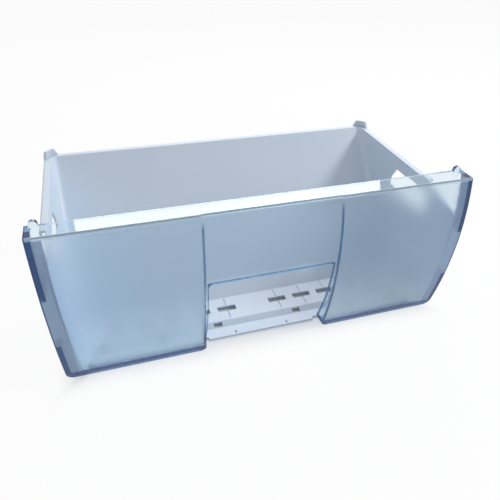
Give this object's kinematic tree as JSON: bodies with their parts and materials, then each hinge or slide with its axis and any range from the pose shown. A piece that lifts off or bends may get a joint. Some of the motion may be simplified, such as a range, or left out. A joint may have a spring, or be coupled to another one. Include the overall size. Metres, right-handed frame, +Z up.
{
  "type": "freezer drawer",
  "caption": "Open-topped freezer drawer: a white moulded basket with a slotted floor and a leaning back, closed at the front by a clear tinted panel with a hand opening.",
  "frame": {"origin": "on the surface that the drawer stands on, under the middle of its overall box", "axes": "+X to the right as seen from the front, +Y to the back, +Z up"},
  "size_m": [0.45, 0.24, 0.188],
  "materials": {
    "basket_plastic": "satin moulded polystyrene",
    "clear_plastic": "clear, blue tinted, frosted in its fields"
  },
  "bodies": {
    "root": {"basket": "basket_plastic", "front_panel": "clear_plastic"}
  },
  "joints": []
}
